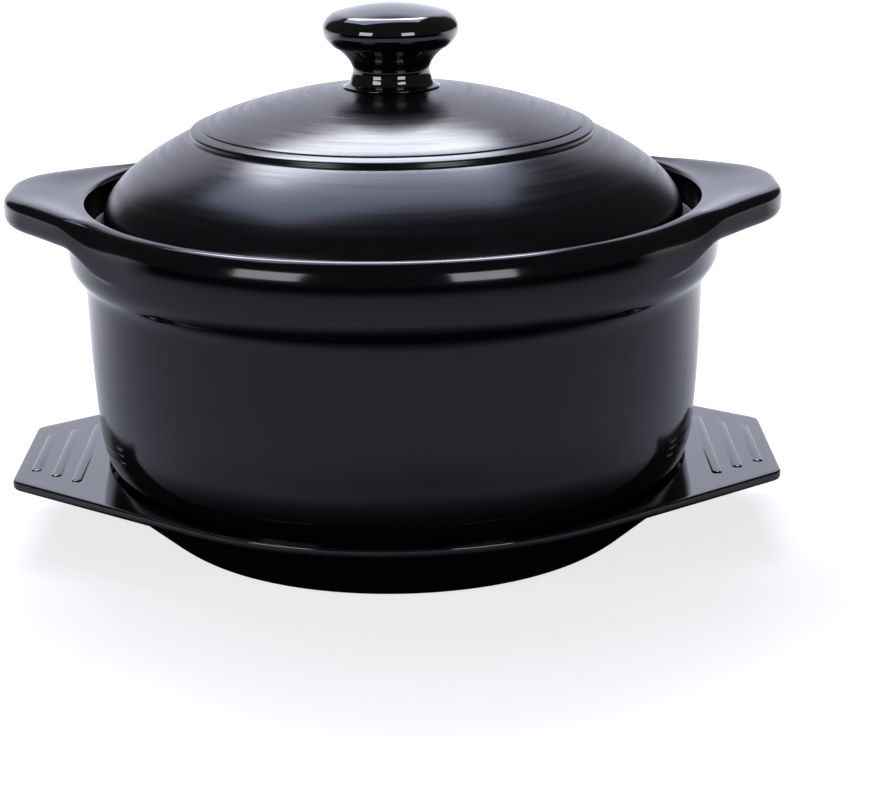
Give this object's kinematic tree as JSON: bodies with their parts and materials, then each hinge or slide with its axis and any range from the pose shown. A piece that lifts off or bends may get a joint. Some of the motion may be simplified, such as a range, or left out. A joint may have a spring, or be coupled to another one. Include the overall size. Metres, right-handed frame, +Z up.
{
  "type": "lidded stone pot",
  "caption": "Round black glazed stoneware pot with wing handles and a domed lid with a knob and steam vent, standing in a moulded tray with ribbed wings.",
  "frame": {"origin": "on the table under the middle of the tray's foot ring, on the axis that the tray, pot, lid and knob share", "axes": "+X runs from the left wing handle to the right one, +Y away from the viewer to the back, +Z up out of the pot"},
  "size_m": [0.2348, 0.1988, 0.1626],
  "materials": {
    "black_glaze": "satin black glaze with fine turning marks",
    "glossy_black_glaze": "glossy black glaze",
    "black_melamine": "glossy moulded melamine"
  },
  "bodies": {
    "tray": {"tray": "black_melamine"},
    "pot": {"pot_body": "black_glaze", "left_handle": "black_glaze", "right_handle": "black_glaze"},
    "lid": {"lid": "black_glaze", "lid_knob": "glossy_black_glaze"}
  },
  "joints": [
    {"name": "pot_lift", "type": "slide", "parent": "tray", "child": "pot", "axis": [0, 0, 1], "range_m": [0, 0.06]},
    {"name": "lid_lift", "type": "slide", "parent": "pot", "child": "lid", "axis": [0, 0, 1], "range_m": [0, 0.09]}
  ]
}
